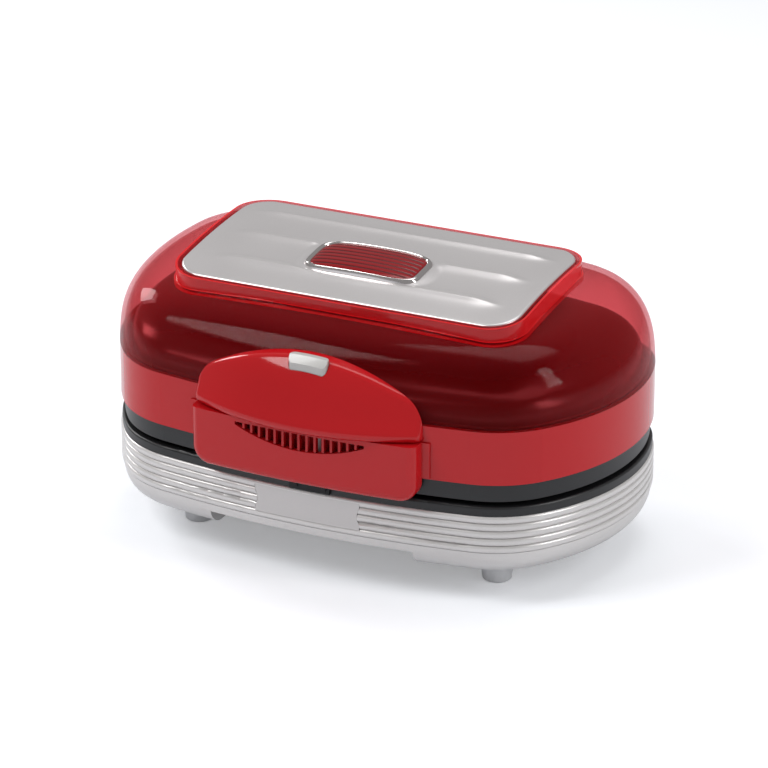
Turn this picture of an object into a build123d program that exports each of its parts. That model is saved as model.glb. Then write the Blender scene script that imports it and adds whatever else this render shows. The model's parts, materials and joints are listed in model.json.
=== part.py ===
"""Countertop burger maker: a double hinged-lid cooker built as separate pieces.

Millimetres, +Z up, the handle at -Y and the hinge at +Y. The origin is the middle of the
footprint on the surface that the feet stand on.
"""
from build123d import *
import math
import os

# Plan outline of the body: an oval of three tangent arcs in each quarter, widest behind the middle
BODY_HALF_WIDTH = 170.0
BODY_HALF_DEPTH = 101.0
WIDEST_Y = 11.0
FRONT_ARC_RADIUS = 600.0
END_ARC_RADIUS = 128.0
FRONT_CORNER_RADIUS = 62.0
REAR_CORNER_RADIUS = 52.0

# Levels, from the table up
FOOT_HEIGHT = 20.0
TUNNEL_TOP = 31.0
RIB_COUNT = 5
RIB_PITCH = 4.8
RIB_ROUND = 1.9
RIB_START = 36.0
RIM_HEIGHT = 6.0
LID_GAP = 3.0
LID_FRAME_HEIGHT = 11.5
BAND_HEIGHT = 34.0
DOME_HEIGHT = 51.0

SHELL_TOP = RIB_START + RIB_COUNT * RIB_PITCH
RIM_TOP = SHELL_TOP + RIM_HEIGHT
FRAME_BOTTOM = RIM_TOP + LID_GAP
BAND_BOTTOM = FRAME_BOTTOM + LID_FRAME_HEIGHT
BAND_TOP = BAND_BOTTOM + BAND_HEIGHT
DOME_TOP = BAND_TOP + DOME_HEIGHT

# Walls and clearances
SHELL_WALL = 5.2
FLOOR = 2.6
BELLY_ROUND = 15.0
SLIP = 0.3
RUNNING = 0.05
RIM_INSET = 1.0
FRAME_INSET = 2.8
BAND_INSET = 0.5
BAND_WALL = 3.0
DOME_WALL = 2.5
DOME_TILT = 4.0

# Base details
TUNNEL_HALF = 68.0
FOOT_X = 102.0
FOOT_Y = 46.0
FOOT_RADIUS = 9.0
FOOT_TOP_RADIUS = 11.0
FOOT_PEG_RADIUS = 3.0
BADGE_HALF_WIDTH = 35.0
BADGE_LOW = 40.0
BADGE_HIGH = 57.6
BADGE_THICK = 1.6
BADGE_BITE = 10.0
BADGE_FACE_INSET = 0.2
RIM_LEDGE = 7.0

# Cooking plates
WELL_RADIUS = 58.0
WELL_X = 67.0
WELL_DEPTH = 13.0
PLATE_WALL = 3.0
PLATE_INSET = 16.0
PLATE_FLANGE = 2.8
PLATE_GAP = 1.2
PLATE_OPENING_INSET = 26.0
LOWER_PLATE_TOP = RIM_TOP - 0.6

# Heating
ELEMENT_RADIUS = 3.25
ELEMENT_LOOP = 38.0
SHIELD_THICK = 0.8

# Hinge
HINGE_Y = 110.0
HINGE_Z = 75.0
HINGE_X = 53.0
KNUCKLE_RADIUS = 8.0
KNUCKLE_LENGTH = 14.0
EAR_THICK = 5.5
PIN_RADIUS = 2.5

# Top plate and its platform
TOP_HALF_WIDTH = 113.0
TOP_HALF_DEPTH = 57.0
TOP_CORNER = 19.0
TOP_BORDER = 4.0
TOP_THICK = 2.4
CROWN_RADIUS = 560.0
CROWN_Y = 42.0
CROWN_TOP = 177.0
RIDGE_HEIGHT = 1.6
RIDGE_RADIUS = 4.0
RIDGE_PITCH = 34.0
RIDGE_STOP = 5.0
RIDGE_LENGTH = 200.0

# Top badge
PILL_Y = -13.5
PILL_LENGTH = 71.0
PILL_DEPTH = 37.0
PILL_BEZEL = 3.0
PILL_RISE = 5.0
PILL_FLOOR = 2.6
PILL_FLARE = 3.5

# Handle
HANDLE_HALF_WIDTH = 74.7
HANDLE_FRONT = 111.0
HANDLE_BOTTOM = RIM_TOP + 0.8
HANDLE_SEAM = 104.0
HANDLE_WALL = 2.2
HANDLE_CORNER = 12.0
HANDLE_EDGE = 6.0
HANDLE_BOW = 4.0
FLANGE_THICK = 1.0
FLANGE_REACH = 5.0
VISOR_FRONT = 119.0
VISOR_TURN = 161.0
VISOR_SLOPE = 21.0
VISOR_LIP = 9.0
VISOR_HALF_WIDTH = 75.0
VISOR_SIDE_TOP = 125.0
VISOR_EDGE = 5.0
VISOR_CORNER = 15.0
CAP_TOP = 147.0
VENT_HALF_WIDTH = 43.0
VENT_TOP = 101.0
VENT_DIP = 9.0
VENT_LOW_END = 99.0
FIN_COUNT = 15
FIN_THICK = 1.5
VENT_BAR_TOP = 101.6

# Release button and latch
BUTTON_WIDTH = 25.0
BUTTON_X = 3.5
BUTTON_BACK = 99.2
BUTTON_DEPTH = 7.0
BUTTON_BOTTOM = 131.0
BUTTON_TOP = 152.0
BUTTON_RISE = 1.8
BUTTON_TRAVEL = 2.5
LATCH_ARM = 10.0
LATCH_PIVOT_Z = 83.5
LATCH_BACK = 102.3
LATCH_THICK = 2.6
LATCH_PIN_RADIUS = 1.5
KEEPER_THICK = 1.5

# Inner cover
COVER_INSET = 8.5
COVER_WALL = 2.0
COVER_TOP = 140.0

# Cord inlet
INLET_X = 100.0
INLET_Z = 47.0
INLET_BORE = 3.6

# Bosses for the case screws, as (x, y)
CASE_BOSSES = [(x, y) for x in (-147.0, 147.0) for y in (-28.0, 28.0)] + [(0.0, -80.0), (0.0, 80.0)]
SCREW_RADIUS = 1.5


def quarter_arcs(half_width, depth, r_shallow, r_end, r_corner):
    """Points of one quarter of the oval, from the middle of the long side round to the end."""
    c_side = Vector(0, depth - r_shallow)
    c_end = Vector(half_width - r_end, 0)
    reach_side, reach_end = r_shallow - r_corner, r_end - r_corner
    gap = c_end - c_side
    along = (reach_side**2 - reach_end**2 + gap.length**2) / (2 * gap.length)
    across = math.sqrt(reach_side**2 - along**2)
    unit = gap.normalized()
    corner = c_side + unit * along + Vector(unit.Y, -unit.X) * across
    p_side = c_side + (corner - c_side).normalized() * r_shallow
    p_end = c_end + (corner - c_end).normalized() * r_end
    p_mid = corner + ((p_side + p_end) * 0.5 - corner).normalized() * r_corner
    return p_side, p_mid, p_end


def oval_wire(half_width, half_depth, r_shallow, r_end, change, z):
    """Closed wire of eight tangent arcs; change is added to the radius of every corner."""
    front = quarter_arcs(half_width, half_depth + WIDEST_Y, r_shallow, r_end, FRONT_CORNER_RADIUS + change)
    rear = quarter_arcs(half_width, half_depth - WIDEST_Y, r_shallow, r_end, REAR_CORNER_RADIUS + change)

    def at(quarter, index, sx, sy):
        p = quarter[index]
        return (p.X * sx, WIDEST_Y + p.Y * sy, z)

    edges = []
    for quarter, sy in ((front, -1), (rear, 1)):
        edges.append(ThreePointArc(at(quarter, 0, -1, sy), (0, half_depth * sy, z), at(quarter, 0, 1, sy)))
        for sx in (-1, 1):
            edges.append(ThreePointArc(*(at(quarter, i, sx, sy) for i in range(3))))
    for sx in (-1, 1):
        edges.append(ThreePointArc(at(front, 2, sx, -1), (half_width * sx, WIDEST_Y, z), at(rear, 2, sx, 1)))
    return Wire(edges)


def body_oval(inset, z):
    """Face of the body outline moved inwards by inset, at level z."""
    return Face(oval_wire(
        BODY_HALF_WIDTH - inset, BODY_HALF_DEPTH - inset, FRONT_ARC_RADIUS - inset, END_ARC_RADIUS - inset,
        -inset, z,
    ))


def oval_solid(inset, low, high):
    """Body outline moved inwards by inset, filled from low to high."""
    return extrude(body_oval(inset, low), high - low, dir=(0, 0, 1))


def oval_ring(outer, inner, low, high):
    """Band between two insets of the body outline, from low to high."""
    return oval_solid(outer, low, high) - oval_solid(inner, low - 1, high + 1)


def back_y(inset, x):
    """Y of the back of the body outline, moved inwards by inset, at a given x."""
    radius = FRONT_ARC_RADIUS - inset
    return BODY_HALF_DEPTH - inset - radius + math.sqrt(radius**2 - x**2)


def block(x0, x1, y0, y1, z0, z1):
    """Box from its corners."""
    return Pos((x0 + x1) / 2, (y0 + y1) / 2, (z0 + z1) / 2) * Box(x1 - x0, y1 - y0, z1 - z0)


def post(x, y, z0, z1, radius):
    """Upright cylinder from z0 to z1."""
    return Pos(x, y, (z0 + z1) / 2) * Cylinder(radius, z1 - z0)


def rod_x(x0, x1, y, z, radius):
    """Cylinder along X."""
    return Pos((x0 + x1) / 2, y, z) * Rot(0, 90, 0) * Cylinder(radius, x1 - x0)


def rod_y(x, y0, y1, z, radius):
    """Cylinder along Y."""
    return Pos(x, (y0 + y1) / 2, z) * Rot(90, 0, 0) * Cylinder(radius, y1 - y0)


def tube_along(points, radii, radius):
    """Round bar along straight runs joined by tangent arcs."""
    path = FilletPolyline(*points, radius=radii)
    start = Plane(origin=path @ 0, z_dir=path % 0)
    return sweep(start * Circle(radius), path=path)


def edges_at(shape, z):
    """Edges that lie flat at level z."""
    return shape.edges().filter_by_position(Axis.Z, z - 0.01, z + 0.01)


# Base

def base_shell():
    """Ribbed lower case with two deep end pods, a raised middle and its screw bosses."""
    body = oval_solid(RIM_INSET, FOOT_HEIGHT, RIB_START)
    body = fillet(edges_at(body, FOOT_HEIGHT), BELLY_ROUND)
    for i in range(RIB_COUNT):
        low = RIB_START + i * RIB_PITCH
        rib = oval_solid(0, low, low + RIB_PITCH)
        rib = fillet(edges_at(rib, low) + edges_at(rib, low + RIB_PITCH), RIB_ROUND)
        body += rib
    body -= block(-TUNNEL_HALF, TUNNEL_HALF, -BODY_HALF_DEPTH - 1, BODY_HALF_DEPTH + 1, 0, TUNNEL_TOP)
    cavity = oval_solid(SHELL_WALL, FOOT_HEIGHT + FLOOR, SHELL_TOP + 1)
    cavity = fillet(edges_at(cavity, FOOT_HEIGHT + FLOOR), BELLY_ROUND - SHELL_WALL + FLOOR)
    cavity -= block(
        -TUNNEL_HALF - FLOOR, TUNNEL_HALF + FLOOR, -BODY_HALF_DEPTH, BODY_HALF_DEPTH, 0, TUNNEL_TOP + FLOOR,
    )
    body -= cavity
    for x, y in CASE_BOSSES:
        low = TUNNEL_TOP if x == 0 else FOOT_HEIGHT
        body += post(x, y, low + 1, BOSS_TOP, 5.5)
        body -= post(x, y, low - 1, BOSS_TOP - BOSS_LAND, 3.9)
        body -= post(x, y, low, BOSS_TOP + 1, SCREW_RADIUS + SLIP)
    for x in (-FOOT_X, FOOT_X):
        for y in (-FOOT_Y, FOOT_Y):
            body -= post(x, y, FOOT_HEIGHT - 1, FOOT_HEIGHT + FLOOR + 1, FOOT_PEG_RADIUS + RUNNING)
    body -= badge_blank(SLIP / 2, -2.0)
    body += rod_y(INLET_X, INLET_Y - INLET_BOSS_DEPTH, INLET_Y + INLET_BOSS_DEPTH, INLET_Z, INLET_BOSS_RADIUS)
    body -= rod_y(INLET_X, INLET_Y - 30, INLET_Y + 30, INLET_Z, INLET_NECK + RUNNING)
    for x in BRACKET_SCREWS:
        body -= rod_y(x, BODY_HALF_DEPTH - 12, BODY_HALF_DEPTH + 2, BRACKET_SCREW_Z, SCREW_RADIUS + SLIP)
    return body


BOSS_TOP = SHELL_TOP - 3.0
BOSS_LAND = 5.0
INLET_NECK = 5.6
INLET_Y = 90.0
INLET_BOSS_DEPTH = 5.5
BRACKET_SCREW_Z = RIB_START + RIB_PITCH * RIB_COUNT / 2
BRACKET_LOW = BRACKET_SCREW_Z - 6.0
INLET_BOSS_RADIUS = 9.5
BRACKET_SCREWS = [-HINGE_X, HINGE_X]


def badge_blank(grow, face_inset):
    """Bare front plate with two hollowed ends, set in the ribs, its face at the given inset."""
    plate = block(
        -BADGE_HALF_WIDTH - grow, BADGE_HALF_WIDTH + grow, -BODY_HALF_DEPTH - 1, -BODY_HALF_DEPTH + 8,
        BADGE_LOW - grow, BADGE_HIGH + grow,
    )
    middle = (BADGE_LOW + BADGE_HIGH) / 2
    for side in (-1, 1):
        bite = rod_y(
            side * (BADGE_HALF_WIDTH + BADGE_BITE - 1.6 + grow), -BODY_HALF_DEPTH - 2, -BODY_HALF_DEPTH + 9,
            middle, BADGE_BITE,
        )
        plate -= bite
    skin = oval_ring(face_inset, BADGE_FACE_INSET + BADGE_THICK + grow, BADGE_LOW - 1, BADGE_HIGH + 1)
    return plate & skin


def feet():
    """Four tapered feet, each with a peg through the floor of its pod."""
    solids = []
    for x in (-FOOT_X, FOOT_X):
        for y in (-FOOT_Y, FOOT_Y):
            cone = Pos(x, y, FOOT_HEIGHT / 2) * Cone(FOOT_RADIUS, FOOT_TOP_RADIUS, FOOT_HEIGHT)
            cone = fillet(edges_at(cone, 0), 1.2)
            solids.append(cone + post(x, y, FOOT_HEIGHT - 1, FOOT_HEIGHT + FLOOR + 3, FOOT_PEG_RADIUS))
    return solids


def base_rim():
    """Heat-resistant frame on the lower case: outer ledge, seat for the plate and a locating skirt."""
    outer = oval_solid(RIM_INSET, SHELL_TOP, RIM_TOP)
    outer = fillet(edges_at(outer, RIM_TOP), 1.5)
    seat = LOWER_PLATE_TOP - PLATE_FLANGE
    rim = outer - oval_solid(PLATE_OPENING_INSET, SHELL_TOP - 1, RIM_TOP + 1)
    rim -= oval_solid(RIM_INSET + RIM_LEDGE, RIM_TOP - 1.6, RIM_TOP + 1)
    rim -= oval_solid(PLATE_INSET - SLIP, seat, RIM_TOP + 1)
    rim += oval_ring(SHELL_WALL + SLIP, SHELL_WALL + SLIP + 2, SHELL_TOP - 6, SHELL_TOP)
    for x, y in CASE_BOSSES:
        rim += post(x, y, BOSS_TOP, SHELL_TOP, 4.5)
        rim -= post(x, y, BOSS_TOP - 1, SHELL_TOP + 2.0, SCREW_RADIUS + RUNNING)
    for x in KEEPER_RIVETS:
        rim -= rod_y(x, -BODY_HALF_DEPTH, -BODY_HALF_DEPTH + 7, SHELL_TOP + 3.4, RIVET_RADIUS)
    rim -= block(INLET_X - 12, INLET_X + 12, INLET_Y - 12, BODY_HALF_DEPTH, SHELL_TOP - 7, SHELL_TOP - 0.01)
    return rim


def case_screws():
    """Six case screws, driven from below."""
    solids = []
    for x, y in CASE_BOSSES:
        head = BOSS_TOP - BOSS_LAND
        screw = post(x, y, head - 2.4, head, 3.4) + post(x, y, head - 0.5, SHELL_TOP + 1.6, SCREW_RADIUS)
        screw -= Pos(x, y, head - 2.4) * Box(4.0, 0.9, 1.6)
        screw -= Pos(x, y, head - 2.4) * Box(0.9, 4.0, 1.6)
        solids.append(screw)
    return solids


def cooking_plate(rim_level, up):
    """Cast plate with two round wells; up is 1 where the wells open upwards, -1 where downwards."""
    far = rim_level - up * (WELL_DEPTH + PLATE_WALL)
    flange_low, flange_high = sorted((rim_level, rim_level - up * PLATE_FLANGE))
    plate = oval_solid(PLATE_INSET, flange_low, flange_high)
    cup_low, cup_high = sorted((rim_level, far))
    well_floor = rim_level - up * WELL_DEPTH
    for x in (-WELL_X, WELL_X):
        cup = post(x, 0, cup_low, cup_high, WELL_RADIUS + PLATE_WALL)
        plate += fillet(edges_at(cup, far), 3.0)
    for x in (-WELL_X, WELL_X):
        low, high = sorted((well_floor, rim_level + up))
        well = post(x, 0, low, high, WELL_RADIUS)
        plate -= fillet(edges_at(well, well_floor), 4.0)
    for x in (-PLATE_POST_X, PLATE_POST_X):
        for y in (-PLATE_POST_Y, PLATE_POST_Y):
            low, high = sorted((rim_level - up * PLATE_FLANGE, rim_level - up * PLATE_POST_END))
            plate += post(x, y, low - 0.5, high + 0.5, 3.6)
            plate -= post(x, y, low - 1 if up > 0 else low + 2, high - 2 if up > 0 else high + 1, SCREW_RADIUS + RUNNING)
    return plate


PLATE_POST_X = 118.0
PLATE_POST_Y = 44.0
PLATE_POST_END = 9.0
UPPER_PLATE_BOTTOM = LOWER_PLATE_TOP + PLATE_GAP


def element(level, up):
    """Tubular heater: one loop under each well, joined across the middle, its two ends at the back."""
    r = ELEMENT_LOOP
    tail = 16.0
    loops = []
    for side in (-1, 1):
        cx = side * WELL_X
        ring = Pos(cx, 0, level) * Torus(r, ELEMENT_RADIUS)
        gap = block(cx - tail / 2, cx + tail / 2, 0, r + 10, level - 10, level + 10)
        ring -= gap
        foot_y = math.sqrt(r * r - (tail / 2) ** 2)
        for leg in (-1, 1):
            x = cx + leg * tail / 2
            ring += rod_y(x, foot_y - 3, foot_y + 14, level, ELEMENT_RADIUS)
            ring += rod_y(x, foot_y + 13, foot_y + 21, level, 1.2)
        loops.append(ring)
    return loops


def shield(level, up, post_level):
    """Thin reflector under or over the heater, with a turned edge and four screw tabs."""
    low, high = sorted((level, level + up * SHIELD_THICK))
    sheet = oval_solid(SHIELD_INSET, low, high)
    edge_low, edge_high = sorted((level, level + up * 5.0))
    edge = oval_ring(SHIELD_INSET, SHIELD_INSET + SHIELD_THICK, edge_low, edge_high)
    for x in (-PLATE_POST_X, PLATE_POST_X):
        for y in (-PLATE_POST_Y, PLATE_POST_Y):
            edge -= post(x, y, edge_low - 1, edge_high + 1, 5.0)
    sheet += edge
    post_low, post_high = sorted((level, post_level))
    for x in (-PLATE_POST_X, PLATE_POST_X):
        for y in (-PLATE_POST_Y, PLATE_POST_Y):
            sheet += post(x, y, post_low, post_high, 3.2)
            sheet -= post(x, y, post_low - 2, post_high + 2, SCREW_RADIUS + SLIP)
    for x in (-WELL_X, WELL_X):
        sheet -= block(x - 14, x + 14, 50, 62, level - 8, level + 8)
    return sheet


SHIELD_INSET = 34.0
LOWER_ELEMENT_Z = LOWER_PLATE_TOP - WELL_DEPTH - PLATE_WALL - ELEMENT_RADIUS
LOWER_SHIELD_Z = LOWER_ELEMENT_Z - ELEMENT_RADIUS - 3.0
UPPER_ELEMENT_Z = UPPER_PLATE_BOTTOM + WELL_DEPTH + PLATE_WALL + ELEMENT_RADIUS
UPPER_SHIELD_Z = UPPER_ELEMENT_Z + ELEMENT_RADIUS + 3.0


def shield_screws(head_level, tip_level):
    """Four screws that clamp a reflector to its plate."""
    low, high = sorted((head_level, tip_level))
    toward = 1 if head_level > tip_level else -1
    solids = []
    for x in (-PLATE_POST_X, PLATE_POST_X):
        for y in (-PLATE_POST_Y, PLATE_POST_Y):
            h0, h1 = sorted((head_level, head_level + toward * 2.0))
            solids.append(post(x, y, low, high, SCREW_RADIUS) + post(x, y, h0, h1, 3.0))
    return solids


def clamp_plates(level, up):
    """Two pressed discs that hold the heater loops against the wells."""
    solids = []
    near, far = sorted((level, level + up * CLAMP_THICK))
    for x in (-WELL_X, WELL_X):
        disc = post(x, 0, near, far, ELEMENT_LOOP + 8)
        disc -= post(x, 0, near - 1, far + 1, ELEMENT_LOOP - 8)
        solids.append(disc)
    return solids


CLAMP_THICK = 1.2


def thermostat(level, up):
    """Snap-disc thermostat with two blades, held against the plate between the wells."""
    low, high = sorted((level, level - up * 9.0))
    can = post(0, THERMOSTAT_Y, low, high, 8.0)
    blade_low, blade_high = sorted((level - up * 8.5, level - up * 15.0))
    for side in (-1, 1):
        x = side * 4.0
        can += block(x - 0.4, x + 0.4, THERMOSTAT_Y - 3, THERMOSTAT_Y + 3, blade_low, blade_high)
    return can


THERMOSTAT_Y = 20.0


def terminal_block():
    """Mains terminal block behind the lower heater."""
    z0 = TUNNEL_TOP + FLOOR
    body = block(TERMINAL_X - 14, TERMINAL_X + 14, TERMINAL_Y - 8, TERMINAL_Y + 8, z0, z0 + 11)
    for x in (TERMINAL_X - 9, TERMINAL_X, TERMINAL_X + 9):
        body -= rod_y(x, TERMINAL_Y - 9, TERMINAL_Y + 9, z0 + 5, 1.7)
        body -= post(x, TERMINAL_Y, z0 + 5, z0 + 12, 1.6)
    return body


TERMINAL_X = -35.0
TERMINAL_Y = 82.0
WIRE_LANE_Y = 70.0
WIRE_RADIUS = 1.3


def cord_gland():
    """Bushing in the back wall that the mains lead passes through."""
    neck_in, neck_out = INLET_Y - INLET_BOSS_DEPTH - RUNNING, INLET_Y + INLET_BOSS_DEPTH + RUNNING
    gland = rod_y(INLET_X, neck_in, neck_out, INLET_Z, INLET_NECK)
    gland += rod_y(INLET_X, neck_out, neck_out + 8, INLET_Z, INLET_NECK + 2)
    gland += rod_y(INLET_X, neck_in - 2, neck_in, INLET_Z, INLET_NECK + 1.5)
    return gland - rod_y(INLET_X, neck_in - 3, neck_out + 9, INLET_Z, INLET_BORE)


def base_wires():
    """Two sleeved wires from the terminal block to the ends of the heater loops."""
    z = TUNNEL_TOP + FLOOR + 5
    tail_end = math.sqrt(ELEMENT_LOOP**2 - 8.0**2) + 21
    wires = []
    for side in (-1, 1):
        x_start, x_end = TERMINAL_X + side * 9, side * (WELL_X - 8)
        points = [
            (x_start, TERMINAL_Y - 9, z), (x_start, WIRE_LANE_Y, z), (x_start, WIRE_LANE_Y, LOWER_ELEMENT_Z),
            (x_end, WIRE_LANE_Y, LOWER_ELEMENT_Z), (x_end, tail_end, LOWER_ELEMENT_Z),
        ]
        wires.append(tube_along(points, 2.0, WIRE_RADIUS))
    return wires


def keeper():
    """Steel strike on the front of the rim, with the lip that the latch nose sits under."""
    y_back = -(BODY_HALF_DEPTH - RIM_INSET) - RUNNING
    y_front = y_back - KEEPER_THICK
    plate = block(-11, 16, y_front, y_back, SHELL_TOP + 0.4, KEEPER_LIP_LOW + 3)
    lip = block(LATCH_NOSE_X + 1.5, 16, -LATCH_BACK - LATCH_THICK, y_back, KEEPER_LIP_LOW, KEEPER_LIP_LOW + 3)
    strike = plate + lip
    for x in KEEPER_RIVETS:
        strike -= rod_y(x, y_front - 1, y_back + 1, SHELL_TOP + 3.4, RIVET_RADIUS)
    return strike


LATCH_NOSE_X = 8.0
KEEPER_LIP_LOW = 75.5
KEEPER_RIVETS = [-7.0, 12.0]
RIVET_RADIUS = 1.1


def keeper_rivets():
    """Two rivets that fix the strike to the rim."""
    y_back = -(BODY_HALF_DEPTH - RIM_INSET)
    solids = []
    face = y_back - KEEPER_THICK - RUNNING
    for x in KEEPER_RIVETS:
        shank = rod_y(x, face - 0.5, y_back + 6, SHELL_TOP + 3.4, RIVET_RADIUS)
        solids.append(shank + rod_y(x, face - 1.0, face, SHELL_TOP + 3.4, 1.9))
    return solids


# Hinge

def hinge_brackets():
    """Two brackets behind the lower case, each with a pair of ears for its pin."""
    solids = []
    for side in (-1, 1):
        x_in = HINGE_X - KNUCKLE_LENGTH / 2 - SLIP - EAR_THICK
        x_out = HINGE_X + KNUCKLE_LENGTH / 2 + SLIP + EAR_THICK
        x0, x1 = sorted((side * x_in, side * x_out))
        bracket = block(x0, x1, BODY_HALF_DEPTH - 8, HINGE_Y + KNUCKLE_RADIUS - 3, BRACKET_LOW, HINGE_Z - 12)
        low_edges = edges_at(bracket, BRACKET_LOW).filter_by(Axis.X).sort_by(Axis.Y)
        bracket = fillet(low_edges[-1:], 10.0)
        for a, b in ((x_in, x_in + EAR_THICK), (x_out - EAR_THICK, x_out)):
            e0, e1 = sorted((side * a, side * b))
            ear = rod_x(e0, e1, HINGE_Y, HINGE_Z, KNUCKLE_RADIUS)
            ear += block(e0, e1, HINGE_Y - KNUCKLE_RADIUS, HINGE_Y + KNUCKLE_RADIUS - 3, HINGE_Z - 16, HINGE_Z)
            bracket += ear
        bracket -= oval_solid(-0.02, 0, HINGE_Z + 20)
        bracket -= rod_x(x0 - 1, x1 + 1, HINGE_Y, HINGE_Z, PIN_RADIUS + RUNNING)
        x = side * HINGE_X
        bracket -= rod_y(x, BODY_HALF_DEPTH - 9, BODY_HALF_DEPTH + 9, BRACKET_SCREW_Z, SCREW_RADIUS + RUNNING)
        solids.append(bracket)
    return solids


def bracket_screws():
    """Screws from inside the lower case into the hinge brackets."""
    y_wall = BODY_HALF_DEPTH - SHELL_WALL - 2.4
    solids = []
    for x in BRACKET_SCREWS:
        head_y = y_wall - 1.2
        solids.append(
            rod_y(x, head_y - 2.2, head_y, BRACKET_SCREW_Z, 3.2)
            + rod_y(x, head_y - 0.5, BODY_HALF_DEPTH + 7, BRACKET_SCREW_Z, SCREW_RADIUS)
        )
    return solids


def hinge_pins():
    """Two steel pins, each with a flat head on its outer side."""
    solids = []
    for side in (-1, 1):
        inner = side * (HINGE_X - KNUCKLE_LENGTH / 2 - SLIP - EAR_THICK)
        outer = side * (HINGE_X + KNUCKLE_LENGTH / 2 + SLIP + EAR_THICK)
        a, b = sorted((inner, outer))
        pin = rod_x(a, b, HINGE_Y, HINGE_Z, PIN_RADIUS)
        h0, h1 = sorted((outer + side * 0.1, outer + side * 1.6))
        pin += rod_x(min(outer, h0), max(outer, h1), HINGE_Y, HINGE_Z, PIN_RADIUS)
        pin += rod_x(h0, h1, HINGE_Y, HINGE_Z, 4.5)
        solids.append(pin)
    return solids


def lid_arms():
    """Two arms from the lid frame back to the knuckles that turn on the pins."""
    solids = []
    for side in (-1, 1):
        x0, x1 = sorted((side * (HINGE_X - KNUCKLE_LENGTH / 2), side * (HINGE_X + KNUCKLE_LENGTH / 2)))
        knuckle = rod_x(x0, x1, HINGE_Y, HINGE_Z, KNUCKLE_RADIUS - 0.5)
        arm = block(x0, x1, BODY_HALF_DEPTH - 14, HINGE_Y, FRAME_BOTTOM + 1, HINGE_Z + KNUCKLE_RADIUS - 0.5)
        arm -= oval_solid(FRAME_INSET - RUNNING, FRAME_BOTTOM - 5, BAND_BOTTOM)
        arm -= oval_solid(BAND_INSET - SLIP, BAND_BOTTOM - 0.2, BAND_TOP)
        joined = knuckle + arm - rod_x(x0 - 1, x1 + 1, HINGE_Y, HINGE_Z, PIN_RADIUS + RUNNING)
        joined -= rod_y(side * HINGE_X, BODY_HALF_DEPTH - 12, BODY_HALF_DEPTH + 4, ARM_SCREW_Z, SCREW_RADIUS + RUNNING)
        solids.append(joined)
    return solids


def arm_screws():
    """Screws from inside the lid frame into the two arms."""
    wall = back_y(FRAME_INSET + FRAME_WALL, HINGE_X + 2.5)
    solids = []
    for x in (-HINGE_X, HINGE_X):
        shank = rod_y(x, wall - 0.5, wall + FRAME_WALL + 8, ARM_SCREW_Z, SCREW_RADIUS)
        solids.append(shank + rod_y(x, wall - 2, wall, ARM_SCREW_Z, 2.5))
    return solids


FRAME_WALL = 4.2
ARM_SCREW_Z = 76.0


# Lid

def lid_frame():
    """Heat-resistant frame under the lid that carries the upper plate."""
    wall_in = FRAME_INSET + FRAME_WALL
    plate_top = UPPER_PLATE_BOTTOM + PLATE_FLANGE
    frame = oval_ring(FRAME_INSET, wall_in, FRAME_BOTTOM, BAND_BOTTOM)
    frame += oval_ring(wall_in - 0.5, PLATE_OPENING_INSET, plate_top, plate_top + 3)
    for x, y in LID_BOSSES:
        frame += post(x, y, plate_top + 1, BAND_BOTTOM, 4.5)
        frame -= post(x, y, plate_top - 1, BAND_BOTTOM + 1, SCREW_RADIUS + SLIP)
        frame -= post(x, y, plate_top - 1, plate_top + 2, 3.6)
    for x in (-HINGE_X, HINGE_X):
        frame -= rod_y(x, BODY_HALF_DEPTH - 12, BODY_HALF_DEPTH, ARM_SCREW_Z, SCREW_RADIUS + SLIP)
    return frame


LID_BOSSES = [(x, y) for x in (-145.0, 145.0) for y in (-34.0, 34.0)] + [(0.0, -85.0), (0.0, 85.0)]


def lid_band():
    """Opaque band round the lid, with an inner flange and screw bosses."""
    band = oval_ring(BAND_INSET, BAND_INSET + BAND_WALL, BAND_BOTTOM, BAND_TOP)
    band += oval_ring(BAND_INSET + 1, BAND_FLANGE_INSET, BAND_BOTTOM, BAND_BOTTOM + 2.5)
    for x, y in LID_BOSSES:
        band += post(x, y, BAND_BOTTOM, BAND_BOTTOM + 9, 4.5)
        band -= post(x, y, BAND_BOTTOM - 1, BAND_BOTTOM + 8, SCREW_RADIUS + RUNNING)
    return band


BAND_FLANGE_INSET = 29.0


def lid_screws():
    """Six screws from the frame up into the band."""
    solids = []
    head = UPPER_PLATE_BOTTOM + PLATE_FLANGE + 2
    for x, y in LID_BOSSES:
        solids.append(post(x, y, head - 1.9, head, 3.2) + post(x, y, head - 0.5, BAND_BOTTOM + 6, SCREW_RADIUS))
    return solids


# Dome sections as (share of the height, inset along X, inset along Y, change of the corner radius)
DOME_SECTIONS = [
    (0.00, 0.0, 0.0, 0.0),
    (0.30, 1.5, 1.2, -1.0),
    (0.58, 6.5, 5.2, -4.0),
    (0.78, 15.0, 11.5, -9.0),
    (0.92, 29.0, 22.0, -15.0),
    (1.00, 50.0, 37.0, -22.0),
]


def dome_loft(inset, low, high):
    """Loft through the dome's sections, all moved inwards by inset; the top leans to the front."""
    wires = []
    for share, dx, dy, change in DOME_SECTIONS:
        flat = oval_wire(
            BODY_HALF_WIDTH - inset - dx, BODY_HALF_DEPTH - inset - dy, FRONT_ARC_RADIUS - inset,
            END_ARC_RADIUS + dx - inset, change - inset, 0,
        )
        wires.append(Pos(0, 0, low + (high - low) * share) * Rot(DOME_TILT * share, 0, 0) * flat)
    return Solid.make_loft(wires)


def crown(radius_change, x_half):
    """Everything under a long shallow crown that arches from front to back."""
    radius = CROWN_RADIUS + radius_change
    return rod_x(-x_half, x_half, CROWN_Y, CROWN_TOP - CROWN_RADIUS, radius)


def rounded_pad(half_x, half_y, corner, low, high):
    """Upright pad with rounded corners."""
    face = Pos(0, 0, low) * RectangleRounded(2 * half_x, 2 * half_y, corner)
    return extrude(face, high - low, dir=(0, 0, 1))


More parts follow.
